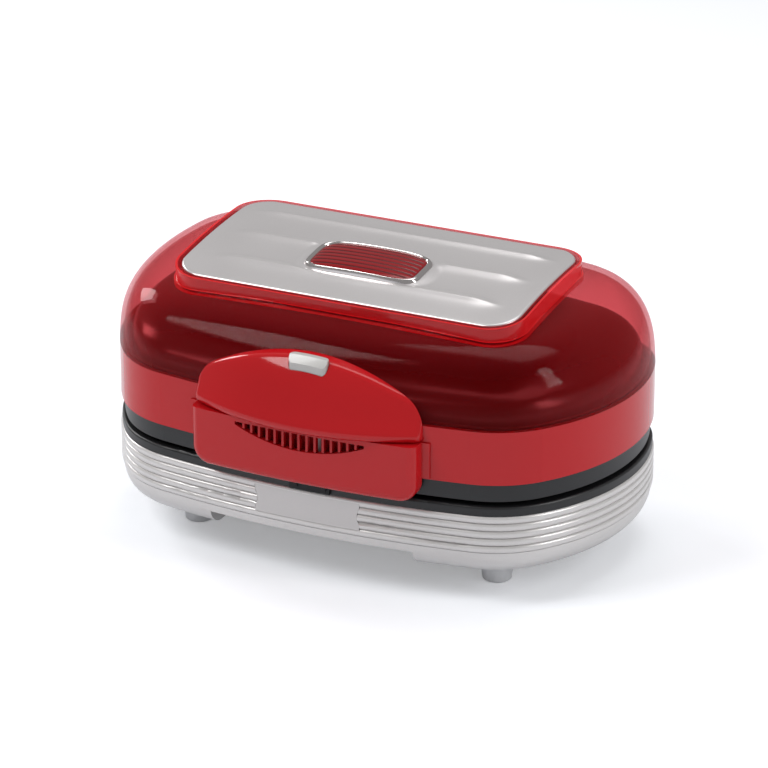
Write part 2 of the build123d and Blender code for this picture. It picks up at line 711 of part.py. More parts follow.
def dome():
    """See-through upper cover with a raised platform for the top plate."""
    outer = dome_loft(BAND_INSET, BAND_TOP, DOME_TOP)
    border = rounded_pad(
        TOP_HALF_WIDTH + TOP_BORDER, TOP_HALF_DEPTH + TOP_BORDER, TOP_CORNER + TOP_BORDER, DOME_TOP - 6, CROWN_TOP + 5,
    )
    outer += border & crown(-0.4, BODY_HALF_WIDTH)
    inner = dome_loft(BAND_INSET + DOME_WALL, BAND_TOP, DOME_TOP - DOME_WALL)
    shell = outer - inner
    pocket = rounded_pad(
        TOP_HALF_WIDTH + SLIP, TOP_HALF_DEPTH + SLIP, TOP_CORNER, DOME_TOP - 8, CROWN_TOP + 6,
    ) - crown(-TOP_THICK - RUNNING, BODY_HALF_WIDTH + 5)
    shell -= pocket
    shell += oval_ring(
        BAND_INSET + BAND_WALL + SLIP, BAND_INSET + BAND_WALL + SLIP + 1.4, BAND_TOP - 4, BAND_TOP,
    )
    shell += oval_ring(BAND_INSET + 1.2, BAND_INSET + BAND_WALL + SLIP + 1.4, BAND_TOP, BAND_TOP + 1.5)
    return shell


def top_plate():
    """Crowned plate let into the dome, with three long ridges that fade at both ends."""
    pad = rounded_pad(TOP_HALF_WIDTH, TOP_HALF_DEPTH, TOP_CORNER, DOME_TOP - 8, CROWN_TOP + 6)
    plate = (pad & crown(0, BODY_HALF_WIDTH)) - crown(-TOP_THICK, BODY_HALF_WIDTH + 5)
    for i in (-1, 0, 1):
        y = i * RIDGE_PITCH + 1.0
        z = crown_level(y)
        body_half = RIDGE_LENGTH / 2 - 30
        sink = RIDGE_RADIUS - RIDGE_HEIGHT
        bar = rod_x(-body_half, body_half, y, z - sink, RIDGE_RADIUS)
        for side in (-1, 1):
            nose = Pos(side * (body_half + 15), y, z - sink) * Rot(0, side * 90, 0) * Cone(RIDGE_RADIUS, sink, 30)
            bar += nose
        plate += bar - crown(-TOP_THICK / 2, BODY_HALF_WIDTH + 5) - pill(RIDGE_STOP, -2, 12)
    return plate - pill(SLIP / 2, -2, 12)


def crown_level(y):
    """Height of the crown over a given y."""
    return CROWN_TOP - CROWN_RADIUS + math.sqrt(CROWN_RADIUS**2 - (y - CROWN_Y) ** 2)


def pill(grow, low, high):
    """Upright pad with bowed long sides for the top badge, measured from the crown there."""
    z0 = crown_level(PILL_Y) - TOP_THICK - 0.4
    half_l, half_d = PILL_LENGTH / 2 + grow, PILL_DEPTH / 2 + grow
    end_d = half_d - 4.5
    y = PILL_Y
    outline = Wire([
        ThreePointArc((-half_l, y - end_d, z0), (0, y - half_d, z0), (half_l, y - end_d, z0)),
        ThreePointArc((half_l, y - end_d, z0), (half_l + PILL_FLARE, y, z0), (half_l, y + end_d, z0)),
        ThreePointArc((half_l, y + end_d, z0), (0, y + half_d, z0), (-half_l, y + end_d, z0)),
        ThreePointArc((-half_l, y + end_d, z0), (-half_l - PILL_FLARE, y, z0), (-half_l, y - end_d, z0)),
    ])
    return Pos(0, 0, low) * extrude(Face(outline), high - low, dir=(0, 0, 1))


def badge_bezel():
    """Bright collar round the top badge."""
    height = TOP_THICK + PILL_RISE
    collar = pill(0, -1, height)
    collar = fillet(collar.edges().group_by(Axis.Z)[-1], 1.0)
    collar -= crown(-TOP_THICK, BODY_HALF_WIDTH)
    return collar - pill(-PILL_BEZEL, PILL_FLOOR, height + 1)


def badge_face():
    """Plain pad inside the collar."""
    height = TOP_THICK + PILL_RISE - 0.6
    return pill(-PILL_BEZEL - RUNNING, PILL_FLOOR, height)


def inner_cover():
    """Dark inner cover over the upper heater, seen through the dome."""
    foot = BAND_BOTTOM + 2.5
    wall_top = BAND_TOP + 4
    wall = oval_ring(COVER_INSET, COVER_INSET + COVER_WALL, foot, wall_top)
    roof = dome_loft(COVER_INSET, wall_top, COVER_TOP)
    roof -= dome_loft(COVER_INSET + COVER_WALL, wall_top, COVER_TOP - COVER_WALL)
    shell = wall + roof
    for x, y in LID_BOSSES:
        shell -= post(x, y, foot - 1, BAND_BOTTOM + 10, 5.0)
    return shell


# Handle

def handle_form(shrink):
    """Handle's lower half, filled: bowed front, rounded lower corners, rounded front edges."""
    half, front = HANDLE_HALF_WIDTH - shrink, HANDLE_FRONT - shrink
    low, high, back = HANDLE_BOTTOM + shrink, HANDLE_SEAM, -BODY_HALF_DEPTH + 14
    plan = Wire([
        ThreePointArc((-half, -front + HANDLE_BOW, low), (0, -front, low), (half, -front + HANDLE_BOW, low)),
        Edge.make_line((half, -front + HANDLE_BOW, low), (half, back, low)),
        Edge.make_line((half, back, low), (-half, back, low)),
        Edge.make_line((-half, back, low), (-half, -front + HANDLE_BOW, low)),
    ])
    form = extrude(Face(plan), high - low, dir=(0, 0, 1))
    form = fillet(edges_at(form, low).filter_by(Axis.Y), HANDLE_CORNER - shrink)
    front_edges = form.edges().filter_by(lambda e: e.center().Y < -front + HANDLE_BOW + 1 and e.center().Z < high - 1)
    return fillet(front_edges, HANDLE_EDGE - shrink)


def handle_box():
    """Lower half of the handle: a shell open to the lid, with the crescent vent."""
    w = HANDLE_WALL
    box = handle_form(0)
    box -= handle_form(w) - block(-90, 90, -200, 0, HANDLE_SEAM - w, HANDLE_SEAM + 1)
    box -= oval_solid(BAND_INSET - SLIP, 0, HANDLE_SEAM + 1)
    box -= block(-15, 20, -BODY_HALF_DEPTH - 4.8, 0, HANDLE_BOTTOM - 1, HANDLE_BOTTOM + w + 1)
    box -= block(-14, 15, -BODY_HALF_DEPTH - 6, 0, HANDLE_SEAM - w - 1, HANDLE_SEAM + 1)
    box -= vent_window(0)
    flange = oval_ring(BAND_INSET - SLIP - FLANGE_THICK, BAND_INSET - SLIP, BAND_BOTTOM + 1, HANDLE_SEAM)
    reach = HANDLE_HALF_WIDTH + FLANGE_REACH
    flange &= block(-reach, reach, -200, 0, 0, 200)
    box += flange - block(-HANDLE_HALF_WIDTH + w, HANDLE_HALF_WIDTH - w, -200, 0, 0, 200)
    for x in HANDLE_SCREWS:
        box += post(x, -HANDLE_SCREW_Y, HANDLE_BOTTOM + 1, HANDLE_SEAM - 1, 3.4)
        box -= post(x, -HANDLE_SCREW_Y, HANDLE_BOTTOM - 1, HANDLE_SEAM - 4, 2.9)
        box -= post(x, -HANDLE_SCREW_Y, HANDLE_BOTTOM, HANDLE_SEAM + 1, SCREW_RADIUS + SLIP)
    box += rod_y(0, -HANDLE_FRONT + w / 2, -LATCH_BACK - LATCH_THICK - SLIP, LATCH_PIVOT_Z, 3.4)
    box -= rod_y(0, -HANDLE_FRONT + w / 2, -BODY_HALF_DEPTH, LATCH_PIVOT_Z, LATCH_PIN_RADIUS + RUNNING)
    return box


HANDLE_SCREWS = [-55.0, 55.0]
HANDLE_SCREW_Y = 102.2
SPRING_Y = 104.0


def vent_window(grow):
    """Crescent through the front wall: flat top, arched bottom."""
    y = -HANDLE_FRONT - 1
    half = VENT_HALF_WIDTH + grow
    low = VENT_LOW_END - grow
    outline = Wire([
        ThreePointArc((-half, y, low), (0, y, VENT_LOW_END - VENT_DIP - grow), (half, y, low)),
        Edge.make_line((half, y, low), (half, y, VENT_TOP + grow)),
        Edge.make_line((half, y, VENT_TOP + grow), (-half, y, VENT_TOP + grow)),
        Edge.make_line((-half, y, VENT_TOP + grow), (-half, y, low)),
    ])
    return extrude(Face(outline), HANDLE_WALL + HANDLE_BOW + 2, dir=(0, 1, 0))


def vent_low(x):
    """Height of the crescent's arched lower edge at a given x."""
    radius = (VENT_HALF_WIDTH**2 + VENT_DIP**2) / (2 * VENT_DIP)
    return VENT_LOW_END - VENT_DIP + radius - math.sqrt(radius**2 - x**2)


def vent_grille():
    """Comb of upright fins in the crescent, joined by a bar behind the front wall."""
    w = HANDLE_WALL + SLIP
    skin = handle_form(w) - handle_form(w + 1.6)
    comb = (skin & block(-90, 90, -200, 0, 80, VENT_BAR_TOP)) & (Pos(0, HANDLE_WALL, 0) * vent_window(2.5))
    comb -= Pos(0, HANDLE_WALL, 0) * vent_window(0)
    pitch = 2 * (VENT_HALF_WIDTH - 3) / FIN_COUNT
    for i in range(FIN_COUNT):
        x = pitch * (i + 0.5 - FIN_COUNT / 2)
        low = vent_low(abs(x) + FIN_THICK / 2)
        x0, x1 = x - FIN_THICK / 2, x + FIN_THICK / 2
        fin = block(x0, x1, -200, 0, low + SLIP, VENT_TOP - SLIP) & (handle_form(0.7) - handle_form(w + 1.2))
        root = block(x0, x1, -200, 0, low - 1.5, VENT_BAR_TOP - 0.2) & skin
        comb += fin + root
    return comb


def visor_form(grow):
    """Filled visor: a turned form with a rounded lip and a sloped face, cut to an arch from the front."""
    spine = -VISOR_FRONT + VISOR_TURN
    low, high = HANDLE_SEAM, CAP_TOP + 3 + grow
    lip = low + VISOR_LIP
    top = VISOR_TURN - VISOR_SLOPE + grow
    full = VISOR_TURN + grow
    profile = Wire([
        Edge.make_line((0, spine, low), (0, spine + full - 3, low)),
        Spline(
            (0, spine + full - 3, low), (0, spine + full, low + 4), (0, spine + full - 1.5, lip),
            (0, spine + (full + top) / 2 + 2, (lip + high) / 2 + 1), (0, spine + top, high),
        ),
        Edge.make_line((0, spine + top, high), (0, spine, high)),
        Edge.make_line((0, spine, high), (0, spine, low)),
    ])
    turned = revolve(Face(profile), Axis((0, spine, 0), (0, 0, 1)), 360)
    half, y = VISOR_HALF_WIDTH + grow, -BODY_HALF_DEPTH + 14
    arch = Wire([
        Edge.make_line((-half, y, low), (half, y, low)),
        Edge.make_line((half, y, low), (half, y, VISOR_SIDE_TOP + grow)),
        ThreePointArc((half, y, VISOR_SIDE_TOP + grow), (0, y, CAP_TOP + grow), (-half, y, VISOR_SIDE_TOP + grow)),
        Edge.make_line((-half, y, VISOR_SIDE_TOP + grow), (-half, y, low)),
    ])
    upright = extrude(Face(arch), 60, dir=(0, -1, 0))
    shoulders = upright.edges().filter_by(Axis.Y).group_by(Axis.Z)[-1]
    return turned & fillet(shoulders, VISOR_CORNER)


def handle_cap():
    """Upper half of the handle: the visor that carries the release button."""
    cap = visor_form(0)
    front = cap.edges().filter_by(lambda e: e.center().Y < -BODY_HALF_DEPTH + 13)
    cap = fillet(front.filter_by(lambda e: e.bounding_box().size.Z > 0.3), VISOR_EDGE)
    cap -= dome_loft(BAND_INSET - SLIP, BAND_TOP, DOME_TOP)
    cap -= oval_solid(BAND_INSET - SLIP, 0, BAND_TOP)
    hollow = visor_form(-HANDLE_WALL) & block(-30, 30, -200, -BODY_HALF_DEPTH + 4, HANDLE_SEAM - 1, 121)
    hollow += visor_form(-HANDLE_WALL) & block(
        BUTTON_X - 15, BUTTON_X + 15, -200, -BODY_HALF_DEPTH + 4, 120, BUTTON_BOTTOM + 1,
    )
    hollow -= block(-14, 6.6, -200, 0, BUTTON_SHELF - 2, BUTTON_SHELF)
    cap -= hollow
    cap -= button_blank(SLIP)
    for x in HANDLE_SCREWS:
        cap -= post(x, -HANDLE_SCREW_Y, HANDLE_SEAM - 1, HANDLE_SEAM + 9, SCREW_RADIUS + RUNNING)
    return cap


BUTTON_SHELF = 122.0


def handle_screws():
    """Two screws from the handle's underside into the cap."""
    solids = []
    head = HANDLE_SEAM - 4
    for x in HANDLE_SCREWS:
        solids.append(
            post(x, -HANDLE_SCREW_Y, head - 2, head, 2.6)
            + post(x, -HANDLE_SCREW_Y, head - 0.5, HANDLE_SEAM + 7, SCREW_RADIUS)
        )
    return solids


def button_blank(grow):
    """Outline of the button, an upright pad with rounded corners."""
    face = Pos(BUTTON_X, -BUTTON_BACK - BUTTON_DEPTH / 2, BUTTON_BOTTOM) * RectangleRounded(
        BUTTON_WIDTH + 2 * grow, BUTTON_DEPTH + 2 * grow, 2.8 + grow,
    )
    return extrude(face, BUTTON_TOP - BUTTON_BOTTOM + 20 * grow, dir=(0, 0, 1))


def release_button():
    """Push button with a sloped top and one leg down to the latch."""
    body = button_blank(0)
    body = body & visor_form(BUTTON_RISE)
    body = body - dome_loft(BAND_INSET - 2 * SLIP, BAND_TOP, DOME_TOP)
    tip = LATCH_PIVOT_Z + LATCH_ARM_TOP + SLIP + LEG_HALF
    leg = block(
        LATCH_ARM - LEG_HALF, LATCH_ARM + LEG_HALF, -LATCH_BACK - LATCH_THICK, -LATCH_BACK, tip, BUTTON_BOTTOM + 2,
    )
    leg += rod_y(LATCH_ARM, -LATCH_BACK - LATCH_THICK, -LATCH_BACK, tip, LEG_HALF)
    return body + leg


LATCH_ARM_TOP = 3.4
LEG_HALF = 2.2


def button_spring():
    """Compression spring between the cap's shelf and the button."""
    height = BUTTON_BOTTOM - BUTTON_SHELF - 0.1
    wire = 0.45
    coil = Helix(pitch=(height - 2 * wire) / 4, height=height - 2 * wire, radius=2.4)
    section = Plane(origin=coil @ 0, z_dir=coil % 0) * Circle(wire)
    return Pos(-6, -SPRING_Y, BUTTON_SHELF + wire + 0.05) * sweep(section, path=coil)


def latch():
    """Bell crank: a hub on the pivot, an arm for the button's leg and a nose for the strike."""
    y0, y1 = -LATCH_BACK - LATCH_THICK, -LATCH_BACK
    z = LATCH_PIVOT_Z
    crank = rod_y(0, y0, y1, z, 4.2)
    crank += block(-3, LATCH_ARM + 3, y0, y1, z - 1.0, z + LATCH_ARM_TOP)
    crank += block(-3, 3, y0, y1, KEEPER_LIP_LOW - 4.2, z)
    crank += block(-3, LATCH_NOSE_X, y0, y1, KEEPER_LIP_LOW - 4.2, KEEPER_LIP_LOW - 0.5)
    return crank - rod_y(0, y0 - 1, y1 + 1, z, LATCH_PIN_RADIUS + RUNNING)


def latch_pin():
    """Pivot pin of the latch, in its boss on the handle's front wall."""
    pin = rod_y(0, -HANDLE_FRONT + HANDLE_WALL / 2 + 0.3, -LATCH_BACK + 0.3, LATCH_PIVOT_Z, LATCH_PIN_RADIUS)
    return pin + rod_y(0, -LATCH_BACK + 0.2, -LATCH_BACK + 0.9, LATCH_PIVOT_Z, 2.6)


# Export

def write(name, shapes):
    """Writes one piece, or a group of alike pieces, as its own STEP file."""
    items = shapes if isinstance(shapes, list) else [shapes]
    solids = [s for item in items for s in item.solids()]
    export_step(Compound(children=solids), f"parts/{name}.step")


def main():
    os.makedirs("parts", exist_ok=True)
    write("base_shell", base_shell())
    write("feet", feet())
    write("front_badge_plate", badge_blank(0, BADGE_FACE_INSET))
    write("base_rim", base_rim())
    write("case_screws", case_screws())
    write("lower_cooking_plate", cooking_plate(LOWER_PLATE_TOP, 1))
    write("lower_heating_element", element(LOWER_ELEMENT_Z, 1))
    write("lower_element_clamps", clamp_plates(LOWER_ELEMENT_Z - ELEMENT_RADIUS, -1))
    write("lower_heat_shield", shield(LOWER_SHIELD_Z, -1, LOWER_PLATE_TOP - PLATE_POST_END - 0.5))
    write("lower_shield_screws", shield_screws(LOWER_SHIELD_Z - SHIELD_THICK, LOWER_PLATE_TOP - 5))
    write("thermostat", thermostat(LOWER_PLATE_TOP - PLATE_FLANGE, 1))
    write("terminal_block", terminal_block())
    write("cord_gland", cord_gland())
    write("base_wires", base_wires())
    write("latch_keeper", keeper())
    write("keeper_rivets", keeper_rivets())
    write("hinge_brackets", hinge_brackets())
    write("bracket_screws", bracket_screws())
    write("hinge_pins", hinge_pins())
    write("lid_hinge_arms", lid_arms())
    write("lid_arm_screws", arm_screws())
    write("lid_frame", lid_frame())
    write("lid_band", lid_band())
    write("lid_screws", lid_screws())
    write("clear_dome", dome())
    write("top_plate", top_plate())
    write("top_badge_bezel", badge_bezel())
    write("top_badge_face", badge_face())
    write("inner_cover", inner_cover())
    write("upper_cooking_plate", cooking_plate(UPPER_PLATE_BOTTOM, -1))
    write("upper_heating_element", element(UPPER_ELEMENT_Z, -1))
    write("upper_element_clamps", clamp_plates(UPPER_ELEMENT_Z + ELEMENT_RADIUS, 1))
    write("upper_heat_shield", shield(UPPER_SHIELD_Z, 1, UPPER_PLATE_BOTTOM + PLATE_POST_END + 0.5))
    write("upper_shield_screws", shield_screws(UPPER_SHIELD_Z + SHIELD_THICK, UPPER_PLATE_BOTTOM + 5))
    write("thermal_cutout", thermostat(UPPER_PLATE_BOTTOM + PLATE_FLANGE, -1))
    write("handle_box", handle_box())
    write("handle_cap", handle_cap())
    write("handle_screws", handle_screws())
    write("vent_grille", vent_grille())
    write("release_button", release_button())
    write("button_spring", button_spring())
    write("latch_hook", latch())
    write("latch_pin", latch_pin())


main()
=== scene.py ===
"""Countertop burger maker, dressed for its photograph: finishes for every CAD piece, and finer
surfaces for the top plate and its badge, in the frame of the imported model."""
import json
import math

import bpy
import numpy as np
from mathutils import Matrix, Vector


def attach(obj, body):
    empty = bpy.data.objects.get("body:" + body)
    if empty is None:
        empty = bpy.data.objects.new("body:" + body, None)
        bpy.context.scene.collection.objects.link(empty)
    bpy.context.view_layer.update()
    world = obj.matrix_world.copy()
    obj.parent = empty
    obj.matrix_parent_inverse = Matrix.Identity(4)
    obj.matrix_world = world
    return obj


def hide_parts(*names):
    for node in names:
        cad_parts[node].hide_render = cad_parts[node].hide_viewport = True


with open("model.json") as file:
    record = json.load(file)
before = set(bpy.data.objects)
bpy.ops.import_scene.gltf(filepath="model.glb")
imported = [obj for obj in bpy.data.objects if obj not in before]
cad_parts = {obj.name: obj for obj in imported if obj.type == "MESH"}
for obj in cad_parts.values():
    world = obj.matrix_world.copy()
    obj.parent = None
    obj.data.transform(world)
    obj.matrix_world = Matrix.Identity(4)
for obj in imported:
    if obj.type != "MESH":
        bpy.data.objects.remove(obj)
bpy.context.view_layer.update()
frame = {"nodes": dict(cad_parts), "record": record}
nodes = frame["nodes"]


MM = 0.001

# Shader maths


class Sock:
    """One shader socket, with arithmetic that adds Math nodes to its tree."""

    def __init__(self, tree, out):
        self.tree, self.out = tree, out

    def _math(self, op, *others, swap=False):
        node = self.tree.nodes.new("ShaderNodeMath")
        node.operation = op
        terms = [self, *others]
        if swap:
            terms = terms[::-1]
        for slot, term in zip(node.inputs, terms):
            if isinstance(term, Sock):
                self.tree.links.new(term.out, slot)
            else:
                slot.default_value = term
        return Sock(self.tree, node.outputs[0])

    def __add__(self, o): return self._math("ADD", o)
    def __radd__(self, o): return self._math("ADD", o, swap=True)
    def __sub__(self, o): return self._math("SUBTRACT", o)
    def __rsub__(self, o): return self._math("SUBTRACT", o, swap=True)
    def __mul__(self, o): return self._math("MULTIPLY", o)
    def __rmul__(self, o): return self._math("MULTIPLY", o, swap=True)
    def __truediv__(self, o): return self._math("DIVIDE", o)
    def root(self): return self._math("SQRT")
    def floor_at(self, o): return self._math("MAXIMUM", o)
    def abs(self): return self._math("ABSOLUTE")
    def clamp(self): return self._math("MAXIMUM", 0.0)._math("MINIMUM", 1.0)


class Finish:
    """A material being made: a Principled shader and the nodes that feed it."""

    def __init__(self, name, **sockets):
        self.mat = bpy.data.materials.new(name)
        self.mat.use_nodes = True
        self.tree = self.mat.node_tree
        self.bsdf = self.tree.nodes["Principled BSDF"]
        self.surface = self.tree.nodes["Material Output"].inputs["Surface"]
        for key, value in sockets.items():
            self.feed(key.replace("_", " ").title().replace("Ior", "IOR"), value)
        self.place = Sock(self.tree, self.tree.nodes.new("ShaderNodeTexCoord").outputs["Object"])

    def feed(self, socket, value):
        """Sets or links one socket of the Principled shader; a colour of three gets an alpha of 1."""
        slot = self.bsdf.inputs[socket]
        if isinstance(value, Sock):
            self.tree.links.new(value.out, slot)
        elif hasattr(slot.default_value, "__len__") and len(value) == 3:
            slot.default_value = (*value, 1.0)
        else:
            slot.default_value = value

    def node(self, kind, settings=(), out=0, **inputs):
        """A node of one kind: its settings first, then the values or links of its sockets."""
        made = self.tree.nodes.new(kind)
        for key, value in dict(settings).items():
            setattr(made, key, value)
        for key, value in inputs.items():
            numbered = key[0] == "i" and key[1:].isdigit()
            slot = made.inputs[int(key[1:]) if numbered else key.replace("_", " ")]
            if isinstance(value, Sock):
                self.tree.links.new(value.out, slot)
            else:
                slot.default_value = value
        return Sock(self.tree, made.outputs[out])

    def noise(self, scale, detail=2.0, rough=0.5, stretch=(1, 1, 1)):
        """Noise on the object's own coordinates, stretched along each axis."""
        where = self.node("ShaderNodeMapping", Vector=self.place, Scale=stretch)
        return self.node("ShaderNodeTexNoise", Vector=where, Scale=scale, Detail=detail, Roughness=rough)

    def blend(self, mask, low, high):
        """Colour that goes from low to high with the mask."""
        return self.node(
            "ShaderNodeMix", {"data_type": "RGBA"}, out=2, i0=mask, i6=(*low, 1.0), i7=(*high, 1.0),
        )

    def bump(self, height, depth, strength=1.0):
        """Relief of a height mask, its depth in metres."""
        relief = self.node("ShaderNodeBump", Height=height, Distance=depth, Strength=strength)
        self.feed("Normal", relief)

    def split(self, axis):
        """One coordinate of the place on the object: 0, 1 or 2 for X, Y or Z."""
        return self.node("ShaderNodeSeparateXYZ", out=axis, Vector=self.place)


def painted(name, low, high, metal, rough, grain=900.0, depth=0.00002, coat=0.0):
    """Sprayed or moulded surface: fine grain in its colour, roughness and relief."""
    m = Finish(name, metallic=metal, coat_weight=coat, coat_roughness=0.08)
    fine = m.noise(grain, 3.0)
    wide = m.noise(14.0, 2.0)
    m.feed("Base Color", m.blend((fine * 0.6 + wide * 0.4).clamp(), low, high))
    m.feed("Roughness", rough + (wide - 0.5) * 0.08)
    m.bump(fine, depth, 0.5)
    return m.mat


def brushed(name, low, high, rough, stretch, metal=1.0, depth=0.00001):
    """Metal with fine lines along one direction."""
    m = Finish(name, metallic=metal)
    lines = m.noise(400.0, 4.0, 0.6, stretch)
    m.feed("Base Color", m.blend(lines, low, high))
    m.feed("Roughness", rough + lines * 0.12)
    m.bump(lines, depth, 0.4)
    return m.mat


def gloss(name, low, high, rough=0.06, wave=0.00004, shine=0.36):
    """High gloss moulded plastic: even colour with the faint waviness of a moulding."""
    m = Finish(name, specular_ior_level=shine)
    wide = m.noise(9.0, 1.0)
    fine = m.noise(260.0, 2.0)
    m.feed("Base Color", m.blend(wide, low, high))
    m.feed("Roughness", rough + fine * 0.05)
    m.bump(wide, wave, 0.25)
    return m.mat


# Wall of the raised platform round the top plate, in metres: its plan, then how far the painted glow
# reaches inside and outside that plan, and over what distance it fades there and above the foot.
# The painted glow is a brighter red painted on the wall in place of the light that it gathers
PLATFORM_HALF_X, PLATFORM_HALF_Y, PLATFORM_CORNER, PLATFORM_FOOT = 0.117, 0.061, 0.023, 0.150
PAINTED_GLOW_INSIDE, PAINTED_GLOW_OUTSIDE, PAINTED_GLOW_EDGE, PAINTED_GLOW_RISE = 0.0018, 0.0014, 0.0006, 0.004


def clear_red(name):
    """See-through red plastic: a red filter, with its own gloss that grows at a grazing view.

    The wall of the raised platform, a rectangle with round corners in plan, has a painted glow: a brighter,
    less see-through red painted on it in place of the light that the thick wall gathers."""
    m = Finish(name, specular_ior_level=0.6)
    wide = m.noise(8.0, 1.0)
    m.feed("Roughness", 0.03 + wide * 0.02)
    through = m.tree.nodes.new("ShaderNodeBsdfTransparent")
    through.inputs["Color"].default_value = (0.96, 0.60, 0.62, 1.0)
    facing = m.node("ShaderNodeLayerWeight", out=1, Blend=0.30)
    across, along, level = m.split(0), m.split(1), m.split(2)
    out_x = (across.abs() - (PLATFORM_HALF_X - PLATFORM_CORNER)).floor_at(0.0)
    out_y = (along.abs() - (PLATFORM_HALF_Y - PLATFORM_CORNER)).floor_at(0.0)
    wall = (out_x * out_x + out_y * out_y).root() - PLATFORM_CORNER
    past_inner_face = ((wall + PAINTED_GLOW_INSIDE) / PAINTED_GLOW_EDGE).clamp()
    short_of_outer_face = ((PAINTED_GLOW_OUTSIDE - wall) / PAINTED_GLOW_EDGE).clamp()
    painted_glow = past_inner_face * short_of_outer_face * ((level - PLATFORM_FOOT) / PAINTED_GLOW_RISE).clamp()
    # Painted glow: the platform wall gets a brighter red and a larger opaque share, standing in for light it
    # gathers
    m.feed("Base Color", m.blend(painted_glow, (0.37, 0.005, 0.009), (0.80, 0.012, 0.016)))
    share = (0.05 + facing * 0.50 + painted_glow * 0.50).clamp()
    mix = m.tree.nodes.new("ShaderNodeMixShader")
    m.tree.links.new(share.out, mix.inputs[0])
    m.tree.links.new(through.outputs[0], mix.inputs[1])
    m.tree.links.new(m.bsdf.outputs[0], mix.inputs[2])
    m.tree.links.new(mix.outputs[0], m.surface)
    return m.mat


finishes = {
    "silver_paint": painted("satin_silver_paint", (0.62, 0.60, 0.59), (0.71, 0.69, 0.68), 0.35, 0.30, 1400.0),
    "satin_metal": painted(
        "satin_silver_plate", (0.58, 0.555, 0.555), (0.66, 0.635, 0.635), 0.55, 0.30, 1400.0,
    ),
    "blackened_steel": painted(
        "blackened_steel", (0.010, 0.010, 0.011), (0.020, 0.020, 0.022), 0.6, 0.42, 1200.0,
    ),
    "badge_metal": brushed(
        "bare_badge_plate", (0.50, 0.48, 0.47), (0.58, 0.56, 0.55), 0.26, (1, 30, 30), 0.65,
    ),
    "foot_rubber": painted("grey_foot", (0.70, 0.70, 0.71), (0.78, 0.78, 0.79), 0.0, 0.50),
    "black_phenolic": painted("black_frame_plastic", (0.006, 0.006, 0.007), (0.012, 0.012, 0.013), 0.0, 0.38),
    "bright_steel": brushed("bright_steel", (0.52, 0.52, 0.53), (0.62, 0.62, 0.63), 0.22, (30, 1, 30)),
    "nonstick_plate": painted(
        "nonstick_coating", (0.010, 0.010, 0.011), (0.024, 0.024, 0.026), 0.1, 0.42, 2200.0, 0.00004,
    ),
    "heater_steel": brushed("heater_steel", (0.16, 0.155, 0.15), (0.24, 0.23, 0.22), 0.40, (8, 8, 1)),
    "sheet_aluminium": brushed("sheet_aluminium", (0.56, 0.56, 0.57), (0.66, 0.66, 0.67), 0.32, (1, 20, 20)),
    "white_insulation": painted("white_insulation", (0.66, 0.64, 0.58), (0.74, 0.72, 0.66), 0.0, 0.5),
    "dark_plastic": painted("dark_plastic", (0.012, 0.012, 0.013), (0.022, 0.022, 0.024), 0.0, 0.42),
    "maroon_plastic": painted(
        "maroon_cover", (0.060, 0.004, 0.005), (0.085, 0.005, 0.006), 0.0, 0.22, 600.0, 0.00001,
    ),
    "red_gloss": gloss("red_gloss_plastic", (0.45, 0.006, 0.009), (0.49, 0.008, 0.012)),
    "red_clear": clear_red("clear_red_plastic_painted_glow"),
    "bezel_chrome": painted("bright_collar", (0.62, 0.58, 0.57), (0.70, 0.66, 0.65), 1.0, 0.10),
    "button_grey": painted(
        "button_grey", (0.42, 0.41, 0.40), (0.50, 0.49, 0.47), 0.1, 0.34, 800.0, 0.00001, 0.3,
    ),
}

slot_of = {part["node"]: part["material_slot"] for part in frame["record"]["subparts"]}
for name, obj in nodes.items():
    obj.data.materials.clear()
    obj.data.materials.append(finishes[slot_of[name]])

# Surfaces worked out with numpy, in millimetres

CROWN_RADIUS, CROWN_MIDDLE, CROWN_TOP = 560.0, 42.0, 177.0

PLATE_HALF_X, PLATE_HALF_Y, PLATE_CORNER, PLATE_THICK = 113.0, 57.0, 19.0, 2.2
PLATE_RIM, PLATE_RIM_DROP = 1.6, 0.9
# Each crest's place along Y and how far it reaches along X from the middle
CRESTS = ((-33.0, 100.0), (1.0, 104.0), (35.0, 107.0))
CREST_HEIGHT, CREST_SPREAD, CREST_FADE = 2.3, 3.4, 24.0
PAD_HEIGHT, PAD_REACH = 1.7, 7.5

BADGE_MIDDLE, BADGE_HALF_LENGTH, BADGE_HALF_DEPTH, BADGE_FLARE, BADGE_RIM = -13.5, 35.5, 18.5, 3.5, 3.0
BADGE_POWER = 5.0
# What a step inwards takes off the badge's half length and off its half depth
BADGE_END_STEP, BADGE_SIDE_STEP = 1.35, 0.45
# The badge's ends sink by this much at this distance from its middle, and four times as much at twice it
BADGE_BOW, BADGE_BOW_AT = 0.16, 12.0
GROOVES_PER_HALF, GROOVE_DEPTH = 4, 0.30


def crown_height(y):
    """Level of the crowned plate: a circular arc from front to back, highest at the crown's middle."""
    return CROWN_TOP - CROWN_RADIUS + np.sqrt(CROWN_RADIUS**2 - (y - CROWN_MIDDLE) ** 2)


def smooth(t):
    """Zero below 0, one above 1, and a cubic ease between them."""
    t = np.clip(t, 0.0, 1.0)
    return t * t * (3.0 - 2.0 * t)


def make_piece(name, points, quads, finish, body, *stands_for, slot):
    """Smooth-shaded mesh in millimetres, riding on a body in place of CAD nodes."""
    mesh = bpy.data.meshes.new(name)
    mesh.from_pydata((points * MM).tolist(), [], quads.tolist())
    mesh.polygons.foreach_set("use_smooth", np.ones(len(mesh.polygons), dtype=bool))
    mesh.materials.append(finish)
    mesh.update()
    obj = bpy.data.objects.new(name, mesh)
    bpy.context.scene.collection.objects.link(obj)
    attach(obj, body)
    if stands_for:
        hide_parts(*stands_for)
    return obj


